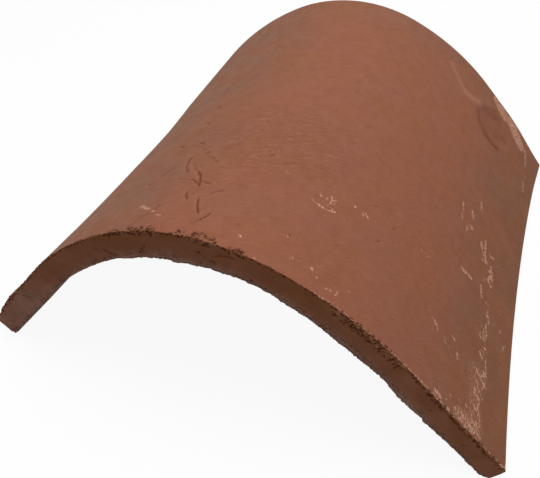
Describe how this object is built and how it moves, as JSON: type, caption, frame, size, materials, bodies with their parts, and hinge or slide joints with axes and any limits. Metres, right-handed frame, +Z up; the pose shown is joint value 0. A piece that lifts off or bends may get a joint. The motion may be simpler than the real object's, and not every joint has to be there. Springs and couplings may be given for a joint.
{
  "type": "clay roof tile",
  "caption": "Rounded clay ridge tile: an arched slab with spreading legs that straddles a roof's ridge or hip and sheds rain down both slopes.",
  "frame": {"origin": "on the bedding plane, midway between the two ends and midway between the two legs", "axes": "+X across the tile from leg to leg, +Y along the ridge from the torn near end to the far end, +Z up through the crown"},
  "size_m": [0.3354, 0.3, 0.1318],
  "materials": {
    "terracotta": "matte"
  },
  "bodies": {
    "root": {"ridge_tile": "terracotta"}
  },
  "joints": []
}
